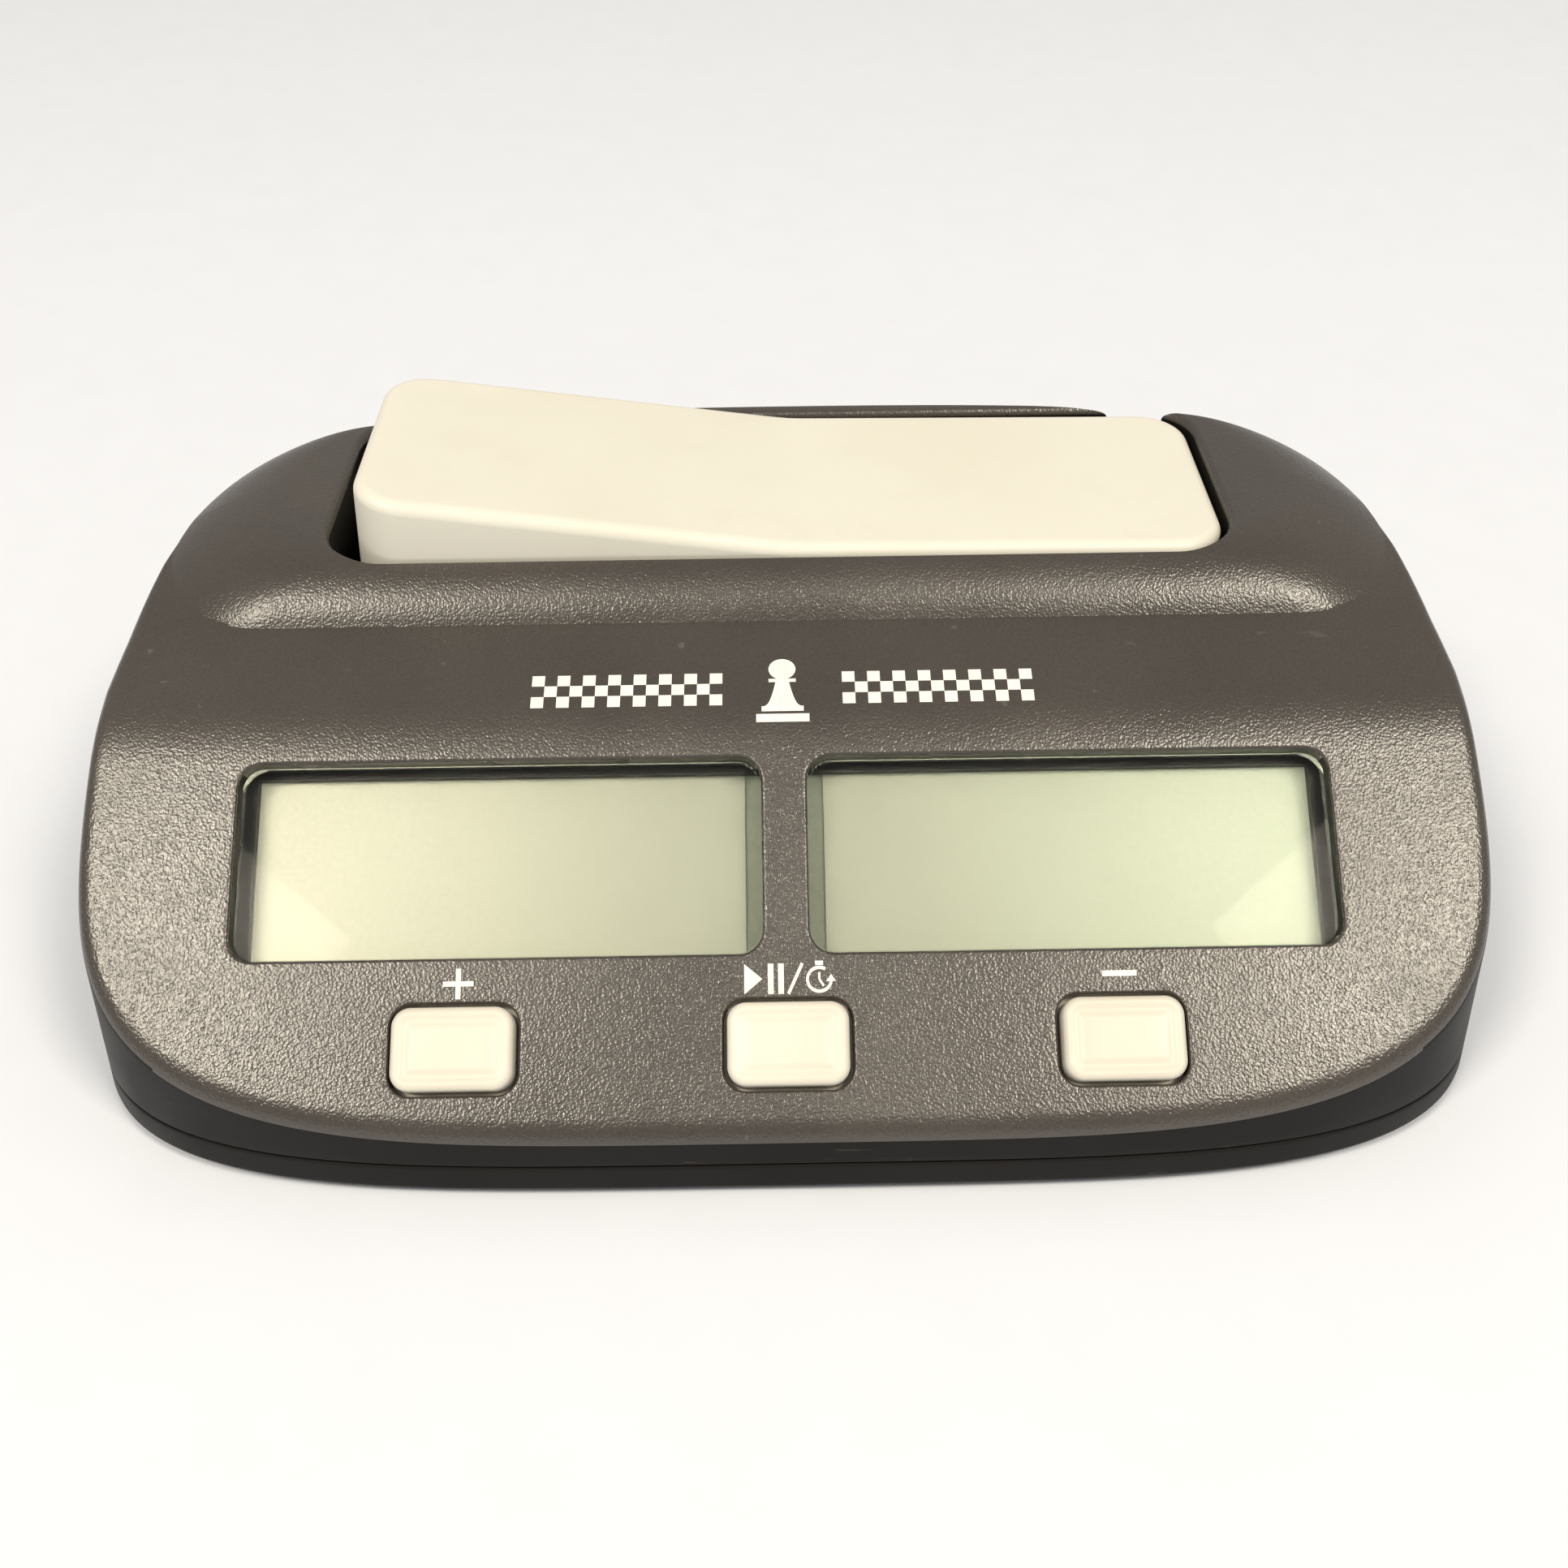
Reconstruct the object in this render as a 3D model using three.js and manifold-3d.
// Digital chess clock: two-part case, tilting rocker lever, three keys, two LCD windows,
// and the board, switches, cells and fasteners inside.
// Millimetres, +Z up, +X to the viewer's right, -Y towards the viewer. The feet stand on z = 0.

import * as THREE from 'three';
import { mergeVertices } from 'three/addons/utils/BufferGeometryUtils.js';
import Module from 'manifold-3d';

const wasm = await Module();
wasm.setup();

const rad = THREE.MathUtils.degToRad;

// ---------------------------------------------------------------- case, driving dimensions
const HALF_WIDTH = 78;            // at the base, at the widest station
const FRONT_Y = -48.1;            // base edge towards the viewer
const REAR_Y = 48.1;
const WIDEST_Y = -5.5;
const FRONT_EXPONENT = 4.2;       // superellipse of the front half of the plan
const REAR_SIDE_PULL = 46;        // handles of the Bezier curve round each rear corner
const REAR_BACK_PULL = 75;
const REAR_SIDE_X = 74;            // the sides draw in towards the rear
const OUTLINE_POINTS = 88;
const DRAFT = Math.tan(rad(5));

const FOOT_HEIGHT = 1.4;
const BASE_Z = 1.0;               // underside of the bottom shell
const SEAM_Z = 4.6;               // middle of the gap between the two shells
const SEAM_GAP = 0.25;
const LIP_THICKNESS = 1.3;         // of the lip that stands inside the top shell
const WALL = 2.2;
const FLOOR_TOP = BASE_Z + WALL;
const CLEAR = 0.3;                // between pieces that rest on each other

// ---------------------------------------------------------------- sloped face and deck
const FACE_SLOPE = rad(35.34);
const FACE_Y = -47.3;             // front rim of the face
const FACE_Z = 9.16;
const BEND_START = -14.5;         // soft bend between face and deck
const BEND_END = -8.3;
const DECK_SLOPE = 0.30;          // rise per millimetre at the bend
const DECK_SLOPE_REAR = 0.045;
const DECK_FLAT_Y = 19.5;

// ---------------------------------------------------------------- pod round the rocker
const POD_FRONT_Y = 2.5;
const POD_HALF_WIDTH = 72;
const POD_CORNER = 16;
const POD_BASE_Z = 38.3;          // where the arc of the pod's flank starts
const POD_OVERHANG = 3;            // of the base line beyond the case's wall, where the deck buries it
const POD_LEDGE = 0.4;             // strip of deck left between the pod and the case's rim
const POD_REAR_Y = REAR_Y - DRAFT * (POD_BASE_Z - BASE_Z) + POD_OVERHANG;
const POD_ARC = 14.6;
const POD_START_ANGLE = rad(50);
const POD_FRONT_RUN = 10;          // how far in the flank reaches, at the front and at the sides
const POD_SIDE_RUN = 14.5;
const POD_POINTS = 76;

// ---------------------------------------------------------------- rocker
const SLOT_HALF = 52.8;
const SLOT_FRONT_Y = 8.5;
const SLOT_REAR_Y = 42.2;
const SLOT_CORNER = 7;
const SLOT_RING = 1.4;
const SLOT_RING_Z = 33;
const ROCKER_HALF = 50.5;
const ROCKER_FRONT_Y = 9.1;
const ROCKER_REAR_Y = 41.2;
const ROCKER_MIDDLE_Y = (ROCKER_FRONT_Y + ROCKER_REAR_Y) / 2;
const ROCKER_CORNER = 6;
const ROCKER_WALL = 2.0;
const WING_ANGLE = rad(3.7);      // each wing rises from the valley by this much
const TILT = rad(4.3);            // at rest the right-hand side is down
const PIVOT_Z = 25;
const VALLEY_HEIGHT = 18.9;       // valley above the pivot
const FINGER_LENGTH = 15.9;       // the finger reaches this far below the pivot
const SKIRT_HEIGHT = 6.5;         // lower edge of the cap above the pivot
const AXLE_RADIUS = 1.5;
const LEG_THICKNESS = 3;
const EAR_THICKNESS = 3;

// ---------------------------------------------------------------- windows and display, on the face
const WINDOW_INNER = 2.46;
const WINDOW_OUTER = 58.77;
const WINDOW_LOW = 18.55;
const WINDOW_HIGH = 40.0;
const WINDOW_CORNER = 2.6;
const LENS_DEPTH = 1.2;
const FRAME_DEPTH = 4.0;
const GLASS_DEPTH = 5.5;
const BOARD_DEPTH = 8.5;
const BOARD_THICKNESS = 1.6;
const BOARD_HALF = 67;
const BOARD_LOW = 5.2;
const BOARD_HIGH = 41;

// ---------------------------------------------------------------- keys, on the face
const KEY_PITCH = 34.63;
const KEY_V = 9.035;
const KEY_HOLE = { halfX: 6.74, halfY: 4.715, corner: 2.3 };
const KEY_CAP = { halfX: 6.32, halfY: 4.3, corner: 2.0 };
const KEY_PROUD = 1.8;
const KEY_FLANGE_DEPTH = 2.55;

// ---------------------------------------------------------------- battery bay and underside
const BAY = { x0: -56, x1: -30, y0: -15, y1: 37 };
const BAY_WALL = 1.4;
const BAY_ROOF_Z = 15.0;
const CELL_RADIUS = 5.25;
const CELL_LENGTH = 44.5;
const CELL_Z = 9.4;
const CASE_SCREWS = [[-71, -20], [71, -20], [-64, 20], [64, 20]];
const FEET = [[-60, -33], [60, -33], [-61, 35.5], [61, 35.5]];
const FOOT_RADIUS = 4.8;
const STOP_X = 47;
const STOP_PAD = { radius: 3.2, low: 26.1, high: 27.5 };
const POWER_SWITCH = { x: 48, y: -5 };
const BOARD_SCREWS = [[-17.3, 13.5], [17.3, 13.5], [-64.3, 33], [64.3, 33]];

// ---------------------------------------------------------------- colours
const FINISH = {
  shell: { color: 0x37322f, roughness: 0.5, metalness: 0 },
  cream: { color: 0xe9e3d2, roughness: 0.35, metalness: 0 },
  inner_black: { color: 0x151515, roughness: 0.6, metalness: 0 },
  lens: { color: 0xdfe6dc, roughness: 0.05, metalness: 0, transparent: true, opacity: 0.3 },
  lcd: { color: 0xc3c8ae, roughness: 0.25, metalness: 0 },
  zebra: { color: 0xb9698b, roughness: 0.8, metalness: 0 },
  board: { color: 0x2f6b3a, roughness: 0.45, metalness: 0 },
  epoxy: { color: 0x0d0d0d, roughness: 0.3, metalness: 0 },
  steel: { color: 0xb9babb, roughness: 0.3, metalness: 1 },
  brass: { color: 0xc8a24a, roughness: 0.35, metalness: 1 },
  rubber: { color: 0x1b1b1b, roughness: 0.9, metalness: 0 },
  cell: { color: 0x2a5f9e, roughness: 0.35, metalness: 0 },
  lead_red: { color: 0xb32020, roughness: 0.5, metalness: 0 },
  lead_black: { color: 0x1a1a1a, roughness: 0.5, metalness: 0 },
};

const clock = new THREE.Group();
const facePlane = new THREE.Group();
facePlane.position.set(0, FACE_Y, FACE_Z);
facePlane.rotation.x = FACE_SLOPE;
facePlane.updateMatrixWorld(true);
clock.add(facePlane);

// ================================================================ helpers

function place(name, geometry, finish, parent = clock) {
  const mesh = new THREE.Mesh(geometry, new THREE.MeshStandardMaterial(FINISH[finish]));
  mesh.name = name;
  parent.add(mesh);
  return mesh;
}

function toSolid(geometry) {
  geometry.deleteAttribute('normal');
  geometry.deleteAttribute('uv');
  const merged = mergeVertices(geometry, 1e-4);
  return new wasm.Manifold(new wasm.Mesh({
    numProp: 3,
    vertProperties: new Float32Array(merged.attributes.position.array),
    triVerts: new Uint32Array(merged.index.array),
  }));
}

function toGeometry(solid) {
  const mesh = solid.getMesh();
  const geometry = new THREE.BufferGeometry();
  geometry.setAttribute('position', new THREE.BufferAttribute(mesh.vertProperties, 3));
  geometry.setIndex(new THREE.BufferAttribute(mesh.triVerts, 1));
  return geometry;
}

function join(...geometries) {
  return geometries.map(toSolid).reduce((sum, next) => sum.add(next));
}

function block(x0, x1, y0, y1, z0, z1) {
  const geometry = new THREE.BoxGeometry(x1 - x0, y1 - y0, z1 - z0);
  return geometry.translate((x0 + x1) / 2, (y0 + y1) / 2, (z0 + z1) / 2);
}

function disc(radius, x, y, z0, z1, sides = 24) {
  const geometry = new THREE.CylinderGeometry(radius, radius, z1 - z0, sides);
  return geometry.rotateX(Math.PI / 2).translate(x, y, (z0 + z1) / 2);
}

function rodAlongY(radius, y0, y1, sides = 28) {
  return new THREE.CylinderGeometry(radius, radius, y1 - y0, sides).translate(0, (y0 + y1) / 2, 0);
}

function roundedPlate(x0, x1, y0, y1, corner, z0, z1) {
  const shape = new THREE.Shape();
  shape.absarc(x1 - corner, y1 - corner, corner, 0, Math.PI / 2);
  shape.absarc(x0 + corner, y1 - corner, corner, Math.PI / 2, Math.PI);
  shape.absarc(x0 + corner, y0 + corner, corner, Math.PI, 1.5 * Math.PI);
  shape.absarc(x1 - corner, y0 + corner, corner, 1.5 * Math.PI, 2 * Math.PI);
  shape.closePath();
  const options = { depth: z1 - z0, bevelEnabled: false, curveSegments: 3 };
  return new THREE.ExtrudeGeometry(shape, options).translate(0, 0, z0);
}

// A shape drawn in (y, z), extruded along X from x0 to x1.
function extrudeAlongX(points, x0, x1) {
  const options = { depth: x1 - x0, bevelEnabled: false };
  const geometry = new THREE.ExtrudeGeometry(new THREE.Shape(points), options);
  const axes = new THREE.Matrix4().makeBasis(
    new THREE.Vector3(0, 1, 0),
    new THREE.Vector3(0, 0, 1),
    new THREE.Vector3(1, 0, 0),
  );
  return geometry.applyMatrix4(axes).translate(x0, 0, 0);
}

// A shape drawn in (x, z), extruded along Y from y0 to y1.
function extrudeAlongY(shape, y0, y1, curveSegments = 8) {
  const options = { depth: y1 - y0, bevelEnabled: false, curveSegments };
  return new THREE.ExtrudeGeometry(shape, options).rotateX(Math.PI / 2).translate(0, y1, 0);
}

// A solid through a stack of loops with equal numbers of points, from the lowest up.
function loft(loops) {
  const count = loops[0].length;
  const positions = loops.flat().flatMap((point) => [point.x, point.y, point.z]);
  const indices = [];
  for (let row = 0; row + 1 < loops.length; row += 1) {
    for (let i = 0; i < count; i += 1) {
      const a = row * count + i;
      const b = row * count + ((i + 1) % count);
      indices.push(a, b, b + count, a, b + count, a + count);
    }
  }
  const capEnds = [[0, true], [loops.length - 1, false]];
  for (const [row, facesDown] of capEnds) {
    const centre = positions.length / 3;
    const middle = loops[row].reduce((sum, p) => sum.clone().add(p), new THREE.Vector3());
    middle.divideScalar(count);
    positions.push(middle.x, middle.y, middle.z);
    for (let i = 0; i < count; i += 1) {
      const a = row * count + i;
      const b = row * count + ((i + 1) % count);
      indices.push(...(facesDown ? [centre, b, a] : [centre, a, b]));
    }
  }
  const geometry = new THREE.BufferGeometry();
  geometry.setAttribute('position', new THREE.Float32BufferAttribute(positions, 3));
  geometry.setIndex(indices);
  return geometry;
}

// Evenly spaced points round a closed outline given by its right-hand half, front to rear.
function closeAndSpace(half, count) {
  const mirrored = half.slice(1, -1).reverse().map((p) => new THREE.Vector2(-p.x, p.y));
  const points = [...half, ...mirrored].map((p) => new THREE.Vector3(p.x, p.y, 0));
  const curve = new THREE.CatmullRomCurve3(points, true);
  curve.arcLengthDivisions = 2000;
  return curve.getSpacedPoints(count).slice(0, count);
}

// The loop moved towards its inside by the inset, at height z.
function insetLoop(loop, inset, z) {
  return loop.map((point, i) => {
    const before = loop[(i + loop.length - 1) % loop.length];
    const after = loop[(i + 1) % loop.length];
    const along = after.clone().sub(before).normalize();
    return new THREE.Vector3(point.x - along.y * inset, point.y + along.x * inset, z);
  });
}

function onFace(geometry) {
  return toSolid(geometry.applyMatrix4(facePlane.matrixWorld));
}

// ================================================================ case outlines

function casePlan() {
  const half = [];
  const steps = 24;
  const power = 2 / FRONT_EXPONENT;
  for (let i = 0; i < steps; i += 1) {
    const angle = (i / steps) * Math.PI / 2;
    const x = HALF_WIDTH * Math.sin(angle) ** power;
    const y = WIDEST_Y - (WIDEST_Y - FRONT_Y) * Math.cos(angle) ** power;
    half.push(new THREE.Vector2(x, y));
  }
  const rear = new THREE.CubicBezierCurve(
    new THREE.Vector2(HALF_WIDTH, WIDEST_Y),
    new THREE.Vector2(REAR_SIDE_X, WIDEST_Y + REAR_SIDE_PULL),
    new THREE.Vector2(REAR_BACK_PULL, REAR_Y),
    new THREE.Vector2(0, REAR_Y),
  );
  half.push(...rear.getPoints(steps));
  return closeAndSpace(half, OUTLINE_POINTS);
}

// A straight front with round corners; the sides and the rear follow the case's plan.
function podPlan() {
  const half = [new THREE.Vector2(0, POD_FRONT_Y), new THREE.Vector2(30, POD_FRONT_Y)];
  const arcY = POD_FRONT_Y + POD_CORNER;
  const outline = insetLoop(CASE_PLAN, DRAFT * (POD_BASE_Z - BASE_Z) - POD_OVERHANG, 0);
  const side = outline.filter((point) => point.x > 1 && point.y > arcY + 1);
  const arcX = side[0].x - POD_CORNER;
  for (let angle = -90; angle <= 0; angle += 15) {
    const x = arcX + POD_CORNER * Math.cos(rad(angle));
    const y = arcY + POD_CORNER * Math.sin(rad(angle));
    half.push(new THREE.Vector2(x, y));
  }
  half.push(...side.map((point) => new THREE.Vector2(point.x, point.y)), new THREE.Vector2(0, POD_REAR_Y));
  return closeAndSpace(half, POD_POINTS);
}

const CASE_PLAN = casePlan();
const POD_PLAN = podPlan();

function caseLoop(inset, z) {
  return insetLoop(CASE_PLAN, inset + DRAFT * (z - BASE_Z), z);
}

// Tapered column with the case's plan.
function caseColumn(inset, z0, z1) {
  return toSolid(loft([caseLoop(inset, z0), caseLoop(inset, z1)]));
}

// Rise of the case top, as [height, slope], at a station y.
function topAt(y) {
  const faceSlope = Math.tan(FACE_SLOPE);
  const bendZ = FACE_Z + faceSlope * (BEND_START - FACE_Y);
  if (y <= BEND_START) return [FACE_Z + faceSlope * (y - FACE_Y), faceSlope];
  const bendRate = (DECK_SLOPE - faceSlope) / (BEND_END - BEND_START);
  const inBend = Math.min(y, BEND_END) - BEND_START;
  const afterBend = bendZ + faceSlope * inBend + 0.5 * bendRate * inBend ** 2;
  if (y <= BEND_END) return [afterBend, faceSlope + bendRate * inBend];
  const deckRate = (DECK_SLOPE_REAR - DECK_SLOPE) / (DECK_FLAT_Y - BEND_END);
  const onDeck = Math.min(y, DECK_FLAT_Y) - BEND_END;
  const afterDeck = afterBend + DECK_SLOPE * onDeck + 0.5 * deckRate * onDeck ** 2;
  if (y <= DECK_FLAT_Y) return [afterDeck, DECK_SLOPE + deckRate * onDeck];
  return [afterDeck + DECK_SLOPE_REAR * (y - DECK_FLAT_Y), DECK_SLOPE_REAR];
}

// Everything under the case top lowered by depth, across the whole width.
function underTop(depth) {
  const stations = [-60, BEND_START, -12.4, -10.35, BEND_END, -2.5, 3.5, 9.5, DECK_FLAT_Y, 60];
  const line = stations.map((y) => {
    const [z, slope] = topAt(y);
    return new THREE.Vector2(y, z - depth * Math.hypot(1, slope));
  });
  const points = [new THREE.Vector2(-60, -40), new THREE.Vector2(60, -40), ...line.reverse()];
  return toSolid(extrudeAlongX(points, -HALF_WIDTH - 5, HALF_WIDTH + 5));
}

// The pod's outline moved in by a share of the flank's run: more at the sides than at the front.
function podLoop(inset, share, z) {
  const width = 1 - (share * POD_SIDE_RUN) / POD_HALF_WIDTH;
  const depth = POD_REAR_Y - POD_FRONT_Y;
  return insetLoop(POD_PLAN, inset, z).map((point) => {
    const toRear = (POD_REAR_Y - point.y) / depth;
    return new THREE.Vector3(point.x * width, point.y + share * POD_FRONT_RUN * toRear, z);
  });
}

// The raised pod: straight below its base line, then an arc that flattens to the top.
function podBody(inset, drop) {
  const below = 5;
  const steps = 6;
  const fullRun = Math.sin(POD_START_ANGLE);
  const loops = [podLoop(inset - below / Math.tan(POD_START_ANGLE), 0, POD_BASE_Z - below - drop)];
  for (let i = 0; i <= steps; i += 1) {
    const angle = POD_START_ANGLE * (1 - i / steps);
    const share = (fullRun - Math.sin(angle)) / fullRun;
    const rise = POD_ARC * (Math.cos(angle) - Math.cos(POD_START_ANGLE));
    loops.push(podLoop(inset, share, POD_BASE_Z + rise - drop));
  }
  return toSolid(loft(loops));
}

function slotPrism(grow, z0, z1) {
  const x = SLOT_HALF + grow;
  return toSolid(roundedPlate(-x, x, SLOT_FRONT_Y - grow, SLOT_REAR_Y + grow, SLOT_CORNER + grow, z0, z1));
}

// ================================================================ shells

function makeTopShell() {
  const low = SEAM_Z + SEAM_GAP / 2;
  const column = caseColumn(0, low, 60);
  const pod = podBody(0, 0).intersect(caseColumn(POD_LEDGE, low, 60));
  const outer = column.intersect(underTop(0)).add(pod);
  const innerColumn = caseColumn(WALL, low - 2, 60);
  const slotRing = slotPrism(SLOT_RING, SLOT_RING_Z, 60);
  const podRoom = podBody(WALL, WALL).intersect(caseColumn(WALL + POD_LEDGE, low - 2, 60));
  const cavity = innerColumn.intersect(underTop(WALL).add(podRoom)).subtract(slotRing);
  let shell = outer.subtract(cavity).subtract(slotPrism(0, 20, 60));

  for (const side of [-1, 1]) {
    const x0 = side > 0 ? WINDOW_INNER : -WINDOW_OUTER;
    const x1 = side > 0 ? WINDOW_OUTER : -WINDOW_INNER;
    const opening = roundedPlate(x0, x1, WINDOW_LOW, WINDOW_HIGH, WINDOW_CORNER, -6, 6);
    shell = shell.subtract(onFace(opening));
  }
  for (const key of [-1, 0, 1]) {
    const { halfX, halfY, corner } = KEY_HOLE;
    const x = key * KEY_PITCH;
    const hole = roundedPlate(x - halfX, x + halfX, KEY_V - halfY, KEY_V + halfY, corner, -6, 6);
    shell = shell.subtract(onFace(hole));
  }
  for (const [x, v] of BOARD_SCREWS) {
    const boss = onFace(disc(2.3, x, v, CLEAR - BOARD_DEPTH, -WALL / 2));
    shell = shell.add(boss).subtract(onFace(disc(1.1, x, v, -BOARD_DEPTH, -3, 16)));
  }
  const underSkin = caseColumn(WALL / 2, low, 60).intersect(underTop(WALL / 2));
  for (const [x, y] of CASE_SCREWS) {
    const post = toSolid(disc(3.2, x, y, 9.3, 45)).intersect(underSkin);
    shell = shell.add(post).subtract(toSolid(disc(1.35, x, y, 9, 21, 16)));
  }
  return toGeometry(shell);
}

function makeBottomShell() {
  const top = SEAM_Z - SEAM_GAP / 2;
  const lipTop = SEAM_Z + 2.2;
  const lip = WALL + 0.25;
  let shell = caseColumn(0, BASE_Z, top).add(caseColumn(lip, BASE_Z + 1, lipTop));
  shell = shell.subtract(caseColumn(lip + LIP_THICKNESS, FLOOR_TOP, 20));

  // The bay's rear corner is cut off where the case rounds, so that it stays inside the lip.
  const insideLip = caseColumn(lip + LIP_THICKNESS / 2, BASE_Z, 40);
  const bay = toSolid(block(
    BAY.x0 - BAY_WALL, BAY.x1 + BAY_WALL, BAY.y0 - BAY_WALL, BAY.y1 + BAY_WALL,
    FLOOR_TOP - 1, BAY_ROOF_Z + BAY_WALL,
  )).intersect(insideLip);
  shell = shell.add(bay).subtract(toSolid(block(BAY.x0, BAY.x1, BAY.y0, BAY.y1, 0, BAY_ROOF_Z)));
  // The tabs of the door reach under the bay's rear wall.
  shell = shell.subtract(toSolid(block(BAY.x0 + 4, BAY.x1 - 4, BAY.y1 - 1, BAY.y1 + 2.2, FLOOR_TOP, 5)));
  const stopTop = STOP_PAD.low - 0.1;
  shell = shell.add(toSolid(disc(2.8, -STOP_X, ROCKER_MIDDLE_Y, BAY_ROOF_Z + 1, stopTop)));
  shell = shell.add(toSolid(disc(2.8, STOP_X, ROCKER_MIDDLE_Y, FLOOR_TOP - 1, stopTop)));

  for (const [x, y] of CASE_SCREWS) {
    shell = shell.add(toSolid(disc(4, x, y, FLOOR_TOP - 1, 9)).intersect(caseColumn(lip, BASE_Z, 20)));
    shell = shell.subtract(toSolid(disc(1.6, x, y, 0, 20, 20)));
    shell = shell.subtract(toSolid(disc(2.9, x, y, 0, 6)));
  }
  for (const [x, y] of FEET) {
    shell = shell.subtract(toSolid(disc(FOOT_RADIUS + 0.3, x, y, 0, FOOT_HEIGHT + 0.2, 32)));
  }
  const slots = 6;
  for (let i = 0; i < slots; i += 1) {
    const y = -28 + i * 2.8;
    shell = shell.subtract(toSolid(block(22, 38, y, y + 1.2, 0, FLOOR_TOP + 1)));
  }
  const { x, y } = POWER_SWITCH;
  shell = shell.subtract(toSolid(block(x - 4.2, x + 4.2, y - 2.2, y + 2.2, 0, FLOOR_TOP + 1)));
  for (const end of [-6.2, 5]) {
    const rib = block(x + end, x + end + 1.2, y - 3, y + 3, FLOOR_TOP - 1, 4.6);
    shell = shell.add(toSolid(rib));
  }
  for (const side of [-1, 1]) {
    shell = shell.add(toSolid(disc(2.6, side * 11, ROCKER_MIDDLE_Y, FLOOR_TOP - 1, 4.2)));
    shell = shell.subtract(toSolid(disc(1.1, side * 11, ROCKER_MIDDLE_Y, 2, 5, 16)));
  }
  return toGeometry(shell);
}

function makeBatteryDoor() {
  const gap = CLEAR;
  const plate = block(BAY.x0 + gap, BAY.x1 - gap, BAY.y0 + gap, BAY.y1 - gap, BASE_Z + 0.1, BASE_Z + 1.7);
  const middle = (BAY.x0 + BAY.x1) / 2;
  let door = toSolid(plate);
  for (const side of [-1, 1]) {
    const x = middle + side * 6;
    const y = BAY.y1 - gap;
    door = door.add(toSolid(block(x - 2, x + 2, y - 1, y, BASE_Z + 1, 4.3)));
    door = door.add(toSolid(block(x - 2, x + 2, y - 1, y + 2, 3.5, 4.3)));
  }
  const tongue = block(middle - 4, middle + 4, BAY.y0 + gap, BAY.y0 + gap + 0.9, BASE_Z + 1, 5.5);
  door = door.add(toSolid(tongue));
  const grips = 4;
  for (let i = 0; i < grips; i += 1) {
    const y = BAY.y0 + 3 + i * 1.8;
    door = door.subtract(toSolid(block(middle - 5, middle + 5, y, y + 0.8, 0, BASE_Z + 0.6)));
  }
  return toGeometry(door);
}

place('top_shell', makeTopShell(), 'shell');
place('bottom_shell', makeBottomShell(), 'shell');
place('battery_door', makeBatteryDoor(), 'shell');
FEET.forEach(([x, y], i) => {
  const where = ['front_left', 'front_right', 'rear_left', 'rear_right'][i];
  place(`foot_${where}`, disc(FOOT_RADIUS, x, y, 0, FOOT_HEIGHT, 32), 'rubber');
});

// ================================================================ fasteners

// A screw with its head's outer face at z = 0 and its shank along +Z.
function screw(headRadius, headHeight, shankRadius, length) {
  const profile = [
    [0, 0], [headRadius * 0.8, 0], [headRadius, headHeight * 0.4], [headRadius, headHeight],
    [shankRadius, headHeight], [shankRadius, length - 1], [shankRadius * 0.3, length], [0, length],
  ].map(([r, z]) => new THREE.Vector2(r, z));
  return new THREE.LatheGeometry(profile, 18).rotateX(Math.PI / 2);
}

CASE_SCREWS.forEach(([x, y], i) => {
  place(`case_screw_${i + 1}`, screw(2.6, 1.6, 1.2, 15), 'steel').position.set(x, y, 4.2);
});
BOARD_SCREWS.forEach(([x, v], i) => {
  const mesh = place(`board_screw_${i + 1}`, screw(2.0, 1.3, 0.95, 6), 'steel', facePlane);
  mesh.position.set(x, v, -BOARD_DEPTH - BOARD_THICKNESS - 1.5);
});

// ================================================================ rocker and its bearing

// The cap's outline in (x, z), from the lower edge up to the two wings.
function wingShape(half, lower, valley) {
  const rise = half * Math.tan(WING_ANGLE);
  const shape = new THREE.Shape();
  shape.moveTo(-half, lower);
  shape.lineTo(half, lower);
  shape.lineTo(half, valley + rise);
  shape.lineTo(0, valley);
  shape.lineTo(-half, valley + rise);
  shape.closePath();
  return shape;
}

// One leg in (x, z): wide under the cap, round about the pivot.
function legShape() {
  const hub = 4.2;
  const shape = new THREE.Shape();
  shape.moveTo(-15, VALLEY_HEIGHT - 1);
  shape.lineTo(-hub, 0);
  shape.absarc(0, 0, hub, Math.PI, 2 * Math.PI);
  shape.lineTo(15, VALLEY_HEIGHT - 1);
  shape.closePath();
  return shape;
}

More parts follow.
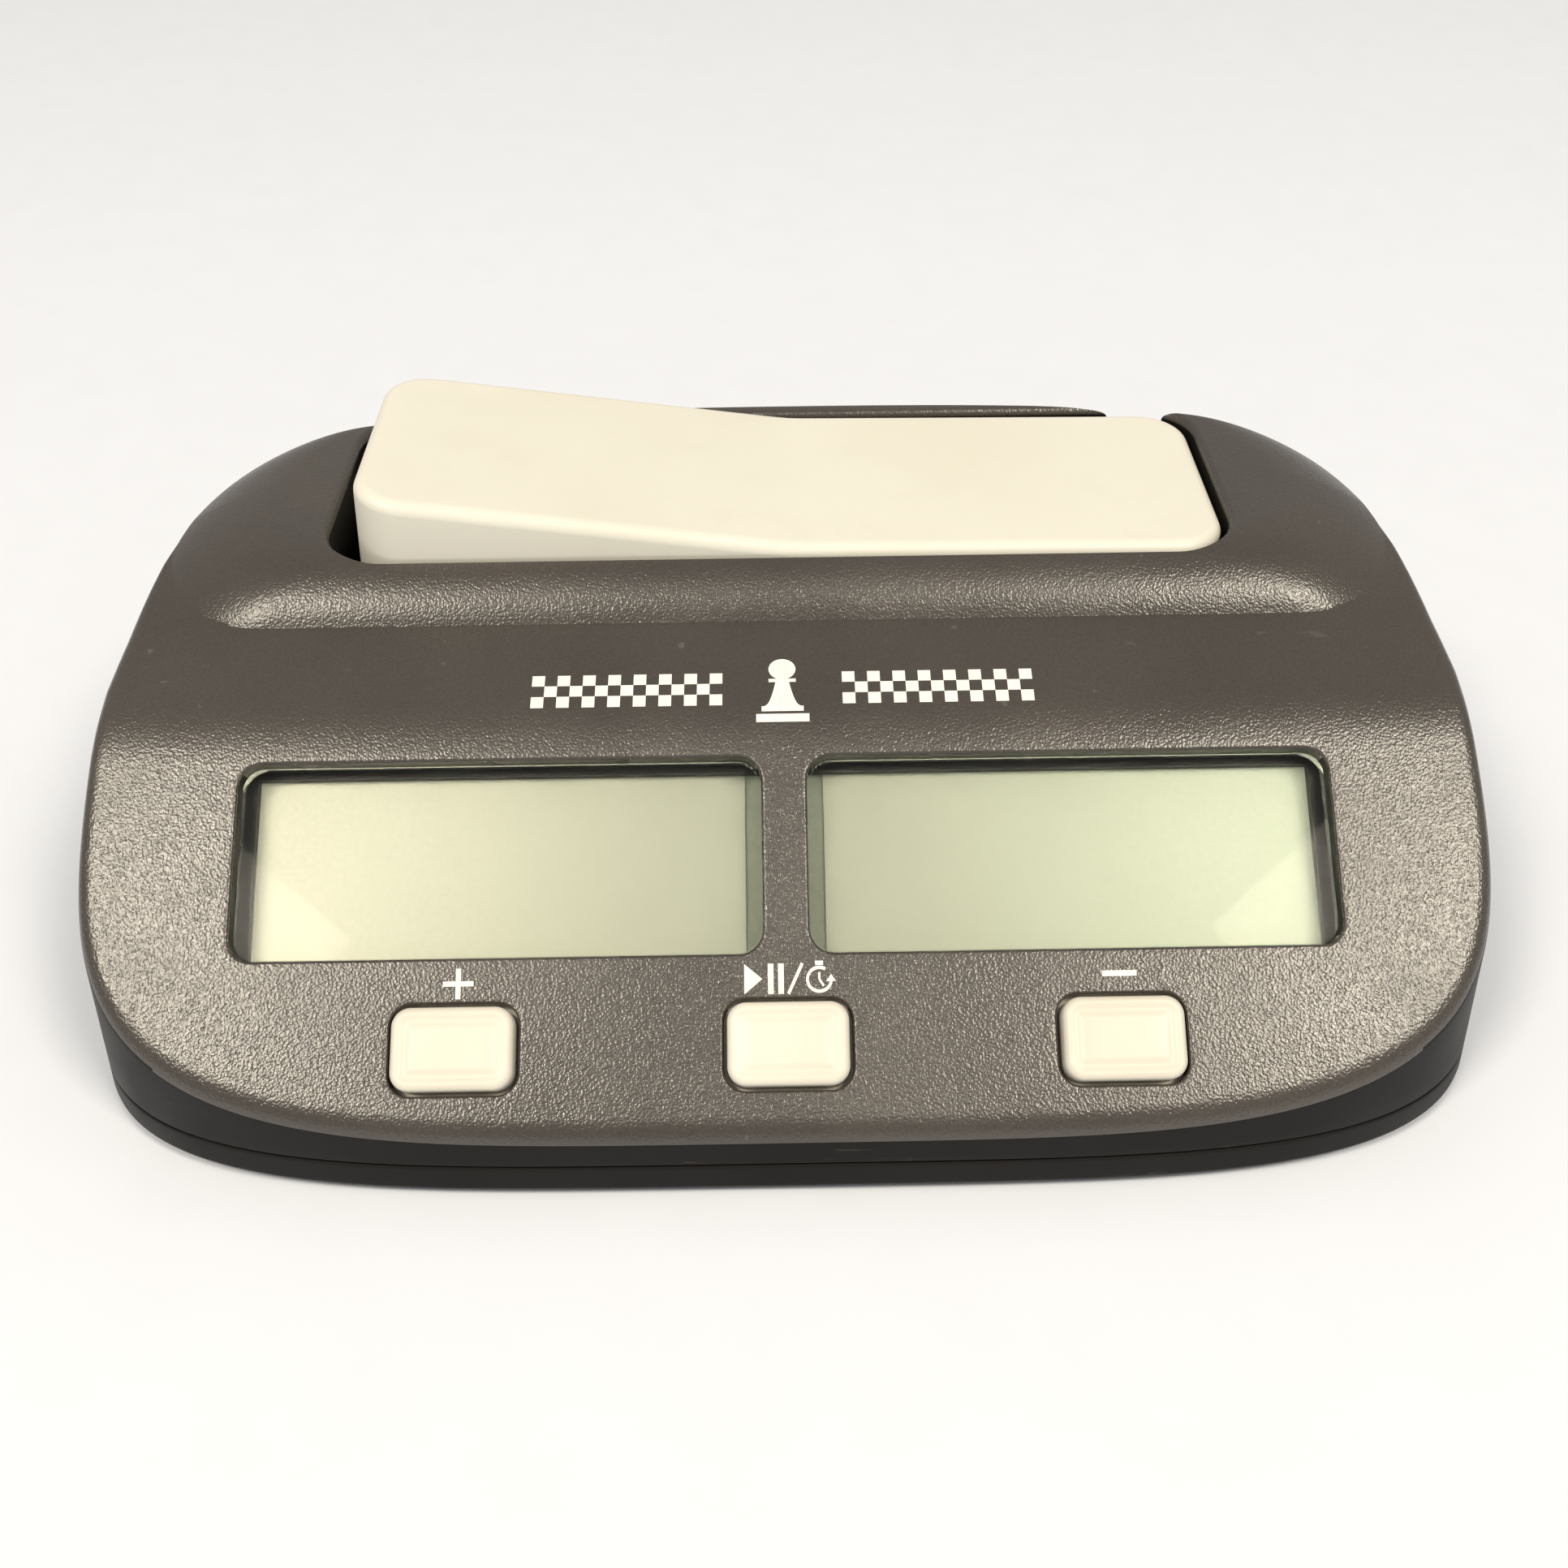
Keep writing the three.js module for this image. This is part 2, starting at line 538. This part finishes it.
function makeRocker() {
  const plan = (inset, z0, z1) => toSolid(roundedPlate(
    -ROCKER_HALF + inset, ROCKER_HALF - inset, ROCKER_FRONT_Y + inset, ROCKER_REAR_Y - inset,
    ROCKER_CORNER - inset, z0, z1,
  ));
  const outerWings = wingShape(ROCKER_HALF + 1, SKIRT_HEIGHT, VALLEY_HEIGHT);
  const innerWings = wingShape(ROCKER_HALF + 1, SKIRT_HEIGHT - 5, VALLEY_HEIGHT - ROCKER_WALL);
  let rocker = toSolid(extrudeAlongY(outerWings, 0, 50)).intersect(plan(0, 0, 40));
  rocker = rocker.subtract(toSolid(extrudeAlongY(innerWings, 0, 50)).intersect(plan(ROCKER_WALL, 0, 40)));
  const frontLeg = ROCKER_FRONT_Y + 4;
  const rearLeg = ROCKER_REAR_Y - 4 - LEG_THICKNESS;
  for (const y of [frontLeg, rearLeg]) {
    rocker = rocker.add(toSolid(extrudeAlongY(legShape(), y, y + LEG_THICKNESS)));
  }
  rocker = rocker.add(toSolid(block(-1.2, 1.2, frontLeg, frontLeg + LEG_THICKNESS, -FINGER_LENGTH, -3)));
  const rib = block(-1, 1, frontLeg, rearLeg + 1, SKIRT_HEIGHT, VALLEY_HEIGHT - 1);
  rocker = rocker.add(toSolid(rib));
  rocker = rocker.subtract(toSolid(rodAlongY(AXLE_RADIUS + 0.12, 0, 50)));
  return toGeometry(rocker);
}

const rocker = place('rocker', makeRocker(), 'cream');
rocker.position.z = PIVOT_Z;
rocker.rotation.y = TILT;

const EAR_FRONT_Y = ROCKER_FRONT_Y + 0.6;
const EAR_REAR_Y = ROCKER_REAR_Y - 0.6 - EAR_THICKNESS;

function makeCradle() {
  const top = 4.2;
  const ear = new THREE.Shape();
  ear.moveTo(-11, 4.5);
  ear.lineTo(11, 4.5);
  ear.lineTo(top, PIVOT_Z);
  ear.absarc(0, PIVOT_Z, top, 0, Math.PI);
  ear.closePath();
  let cradle = toSolid(block(-14, 14, EAR_FRONT_Y, EAR_REAR_Y + EAR_THICKNESS, 4.5, 6.3));
  for (const y of [EAR_FRONT_Y, EAR_REAR_Y]) {
    cradle = cradle.add(toSolid(extrudeAlongY(ear, y, y + EAR_THICKNESS)));
  }
  cradle = cradle.subtract(toSolid(rodAlongY(AXLE_RADIUS + 0.05, 0, 50).translate(0, 0, PIVOT_Z)));
  for (const side of [-1, 1]) {
    cradle = cradle.subtract(toSolid(disc(1.2, side * 11, ROCKER_MIDDLE_Y, 4, 7, 16)));
  }
  return toGeometry(cradle);
}

place('rocker_cradle', makeCradle(), 'inner_black');
place('rocker_axle', rodAlongY(AXLE_RADIUS, EAR_FRONT_Y - 1, EAR_REAR_Y + EAR_THICKNESS + 1), 'steel')
  .position.z = PIVOT_Z;

function clip(y0, y1) {
  return toGeometry(toSolid(rodAlongY(3, y0, y1)).subtract(toSolid(rodAlongY(AXLE_RADIUS + 0.05, 0, 50))));
}

place('axle_clip_front', clip(EAR_FRONT_Y - 0.8, EAR_FRONT_Y - 0.2), 'steel').position.z = PIVOT_Z;
const rearClipY = EAR_REAR_Y + EAR_THICKNESS + 0.2;
place('axle_clip_rear', clip(rearClipY, rearClipY + 0.6), 'steel').position.z = PIVOT_Z;
for (const [name, side] of [['cradle_screw_left', -1], ['cradle_screw_right', 1]]) {
  const mesh = place(name, screw(2.2, 1.3, 0.95, 5.2), 'steel');
  mesh.position.set(side * 11, ROCKER_MIDDLE_Y, 7.9);
  mesh.rotation.x = Math.PI;
}
for (const [name, side] of [['stop_pad_left', -1], ['stop_pad_right', 1]]) {
  place(name, disc(STOP_PAD.radius, side * STOP_X, ROCKER_MIDDLE_Y, STOP_PAD.low, STOP_PAD.high), 'rubber');
}

// Slide switch that the finger of the front leg pushes from side to side.
const SWITCH_Y = ROCKER_FRONT_Y + 4 + LEG_THICKNESS / 2;
const SWITCH_Z = 6.5;
const KNOB_REST_X = -(FINGER_LENGTH - 1.4) * Math.sin(TILT);

function makeRockerSwitch() {
  const housing = block(-6.5, 6.5, SWITCH_Y - 1.6, SWITCH_Y + 1.6, SWITCH_Z, SWITCH_Z + 1.8);
  const groove = block(-4.5, 4.5, SWITCH_Y - 0.6, SWITCH_Y + 0.6, SWITCH_Z + 0.8, SWITCH_Z + 3);
  return toGeometry(toSolid(housing).subtract(toSolid(groove)));
}

function makeRockerKnob() {
  const z = SWITCH_Z + 1.95;
  return toGeometry(join(
    block(-1.5, 1.5, SWITCH_Y - 0.4, SWITCH_Y + 0.4, SWITCH_Z + 1, z + 0.2),
    block(-3.4, 3.4, SWITCH_Y - 1.4, SWITCH_Y + 1.4, z, z + 0.45),
    block(-3.4, -1.7, SWITCH_Y - 1.4, SWITCH_Y + 1.4, z + 0.3, z + 3.4),
    block(1.7, 3.4, SWITCH_Y - 1.4, SWITCH_Y + 1.4, z + 0.3, z + 3.4),
  ));
}

place('rocker_switch', makeRockerSwitch(), 'inner_black');
place('rocker_switch_knob', makeRockerKnob(), 'cream').position.x = KNOB_REST_X;

// ================================================================ keys and their switches

const KEYS = [['plus', -1], ['play_pause', 0], ['minus', 1]];
for (const [name, column] of KEYS) {
  const x = column * KEY_PITCH;
  const { halfX, halfY, corner } = KEY_CAP;
  const edge = 0.9;
  const cap = toSolid(roundedPlate(x - halfX, x + halfX, KEY_V - halfY, KEY_V + halfY, corner,
    -KEY_FLANGE_DEPTH - 0.3, KEY_PROUD - edge));
  const crown = toSolid(roundedPlate(x - halfX + edge, x + halfX - edge, KEY_V - halfY + edge,
    KEY_V + halfY - edge, corner - edge, 0, KEY_PROUD));
  const flange = toSolid(roundedPlate(x - 7.6, x + 7.6, KEY_V - 5.5, KEY_V + 5.5, 2,
    -KEY_FLANGE_DEPTH - 0.8, -KEY_FLANGE_DEPTH));
  const stem = toSolid(disc(1.6, x, KEY_V, -4.7, -KEY_FLANGE_DEPTH));
  place(`${name}_key`, toGeometry(cap.add(crown).add(flange).add(stem)), 'cream', facePlane);
  place(`${name}_plunger`, disc(1.3, x, KEY_V, -6.9, -5.0, 20), 'rubber', facePlane);
  const housing = toSolid(block(x - 3, x + 3, KEY_V - 3, KEY_V + 3, -BOARD_DEPTH + 0.2, -5.6));
  const well = toSolid(disc(1.6, x, KEY_V, -8.05, -5, 20));
  place(`${name}_switch`, toGeometry(housing.subtract(well)), 'inner_black', facePlane);
}

// ================================================================ display and board

function makeDisplayFrame() {
  let frame = toSolid(block(-60.5, 60.5, 16.3, 42.4, -BOARD_DEPTH + CLEAR, -FRAME_DEPTH));
  for (const side of [-1, 1]) {
    const window = [side * 2.2, side * 57.65].sort((a, b) => a - b);
    const pocket = [side * 1.3, side * 59.2].sort((a, b) => a - b);
    frame = frame.subtract(toSolid(block(...window, 18.4, 39.16, -9, 0)));
    frame = frame.subtract(toSolid(block(...pocket, 17.2, 41.7, -9, -FRAME_DEPTH - 1.1)));
  }
  return toGeometry(frame);
}

place('display_frame', makeDisplayFrame(), 'inner_black', facePlane);
for (const [name, side] of [['left', -1], ['right', 1]]) {
  const span = (inner, outer) => [side * inner, side * outer].sort((a, b) => a - b);
  const step = 0.25;
  const lens = toSolid(roundedPlate(...span(WINDOW_INNER + step, WINDOW_OUTER - step),
    WINDOW_LOW + step, WINDOW_HIGH - step, WINDOW_CORNER - step, -2.8, -LENS_DEPTH));
  const flange = toSolid(block(...span(WINDOW_INNER - 1.4, WINDOW_OUTER + 1.4),
    WINDOW_LOW - 1.4, WINDOW_HIGH + 1.4, -3.7, -2.5));
  place(`lens_${name}`, toGeometry(lens.add(flange)), 'lens', facePlane);
  place(`polarizer_${name}`, block(...span(4.3, 58.6), 17.9, 40.2, -5.4, -5.2), 'lcd', facePlane);
  place(`lcd_glass_${name}`, block(...span(1.6, 58.9), 17.5, 41.4, -7.4, -GLASS_DEPTH), 'lcd', facePlane);
  place(`zebra_strip_${name}`, block(...span(6, 56), 39, 41, -8.3, -7.6), 'zebra', facePlane);
}

function makeBoard() {
  const back = -BOARD_DEPTH - BOARD_THICKNESS;
  let board = toSolid(roundedPlate(-BOARD_HALF, BOARD_HALF, BOARD_LOW, BOARD_HIGH, 9, back, -BOARD_DEPTH));
  for (const [x, v] of BOARD_SCREWS) {
    board = board.subtract(toSolid(disc(1.25, x, v, back - 1, 0, 16)));
  }
  return toGeometry(board);
}

const BACK = -BOARD_DEPTH - BOARD_THICKNESS - 0.25;
place('main_board', makeBoard(), 'board', facePlane);
const blob = new THREE.LatheGeometry([[0, 0], [6, 0], [5.4, -1], [3.6, -1.7], [0, -2]]
  .map(([r, z]) => new THREE.Vector2(r, z)).reverse(), 24).rotateX(Math.PI / 2);
place('chip_blob', blob, 'epoxy', facePlane).position.set(0, 27, BACK);
place('crystal', block(9, 17, 32, 35.2, BACK - 3, BACK), 'steel', facePlane);
place('capacitor', disc(2.5, -20, 29, BACK - 5.5, BACK), 'epoxy', facePlane);
place('buzzer', disc(6, 30, 28, BACK - 3.4, BACK, 32), 'epoxy', facePlane);

// ================================================================ cells and contacts

// One cell along +Y with its negative end at the origin.
function cellGeometry() {
  const nub = 0.9;
  const profile = [
    [0, 0], [CELL_RADIUS - 0.5, 0], [CELL_RADIUS, 0.5], [CELL_RADIUS, CELL_LENGTH - nub - 0.5],
    [CELL_RADIUS - 0.5, CELL_LENGTH - nub], [1.9, CELL_LENGTH - nub], [1.9, CELL_LENGTH], [0, CELL_LENGTH],
  ].map(([r, y]) => new THREE.Vector2(r, y));
  return new THREE.LatheGeometry(profile, 24);
}

// A conical wire spring along +Y from y = 0, wide end first.
function contactSpring(length) {
  const turns = 3;
  const steps = 12 * turns;
  const wire = 0.32;
  const points = [];
  for (let i = 0; i <= steps; i += 1) {
    const t = i / steps;
    const radius = 4.1 - 1.5 * t;
    const angle = t * turns * 2 * Math.PI;
    const y = wire + t * (length - 2 * wire);
    points.push(new THREE.Vector3(radius * Math.cos(angle), y, radius * Math.sin(angle)));
  }
  const section = new THREE.Shape().absarc(0, 0, wire, 0, 2 * Math.PI);
  const path = new THREE.CatmullRomCurve3(points);
  return new THREE.ExtrudeGeometry(section, { steps, extrudePath: path, curveSegments: 3, bevelEnabled: false });
}

const SPRING_LENGTH = 4.6;
const PLATE_THICKNESS = 0.5;
const cellX = [(BAY.x0 + BAY.x1) / 2 - 5.9, (BAY.x0 + BAY.x1) / 2 + 5.9];
const springFront = BAY.y0 + CLEAR;
const springRear = BAY.y1 - CLEAR;

place('cell_left', cellGeometry(), 'cell').position.set(cellX[0], springFront + SPRING_LENGTH + CLEAR, CELL_Z);
const rightCell = place('cell_right', cellGeometry(), 'cell');
rightCell.position.set(cellX[1], springRear - SPRING_LENGTH - CLEAR, CELL_Z);
rightCell.rotation.z = Math.PI;
place('contact_spring_front', contactSpring(SPRING_LENGTH), 'steel').position.set(cellX[0], springFront, CELL_Z);
const rearSpring = place('contact_spring_rear', contactSpring(SPRING_LENGTH), 'steel');
rearSpring.position.set(cellX[1], springRear, CELL_Z);
rearSpring.rotation.z = Math.PI;
const plateHalf = 4.2;
place('contact_plate_rear', block(cellX[0] - plateHalf, cellX[0] + plateHalf,
  springRear - PLATE_THICKNESS, springRear, 5.5, 13.5), 'brass');
place('contact_plate_front', block(cellX[1] - plateHalf, cellX[1] + plateHalf,
  springFront, springFront + PLATE_THICKNESS, 5.5, 13.5), 'brass');

// Battery leads, from the bay's roof to the back of the board.
function lead(points) {
  const section = new THREE.Shape().absarc(0, 0, 0.6, 0, 2 * Math.PI);
  const path = new THREE.CatmullRomCurve3(points.map(([x, y, z]) => new THREE.Vector3(x, y, z)));
  return new THREE.ExtrudeGeometry(section, { steps: 10, extrudePath: path, curveSegments: 4, bevelEnabled: false });
}

place('battery_lead_red', lead([[-50, 2, 17.3], [-49, -1, 19.4], [-48, -5.5, 20.6], [-47, -8.6, 21.4]]), 'lead_red');
place('battery_lead_black', lead([[-40, 2, 17.3], [-40.5, -1, 19.4], [-41, -5.5, 20.6], [-42, -8.6, 21.4]]), 'lead_black');

// ================================================================ power switch on the underside

function makePowerSwitch() {
  const { x, y } = POWER_SWITCH;
  const housing = toSolid(block(x - 7, x + 7, y - 3, y + 3, 4.9, 9.4));
  const groove = toSolid(block(x - 4.8, x + 4.8, y - 1.3, y + 1.3, 4, 7));
  return toGeometry(housing.subtract(groove));
}

function makePowerKnob() {
  const { x, y } = POWER_SWITCH;
  const rest = x - 1.75;
  return toGeometry(join(
    block(rest - 1.8, rest + 1.8, y - 1.8, y + 1.8, 1.4, 3.9),
    block(rest - 2.6, rest + 2.6, y - 2.6, y + 2.6, 3.6, 4.3),
    block(rest - 1.3, rest + 1.3, y - 0.9, y + 0.9, 4.1, 6.5),
  ));
}

place('power_switch', makePowerSwitch(), 'inner_black');
place('power_switch_knob', makePowerKnob(), 'cream');

export default clock;
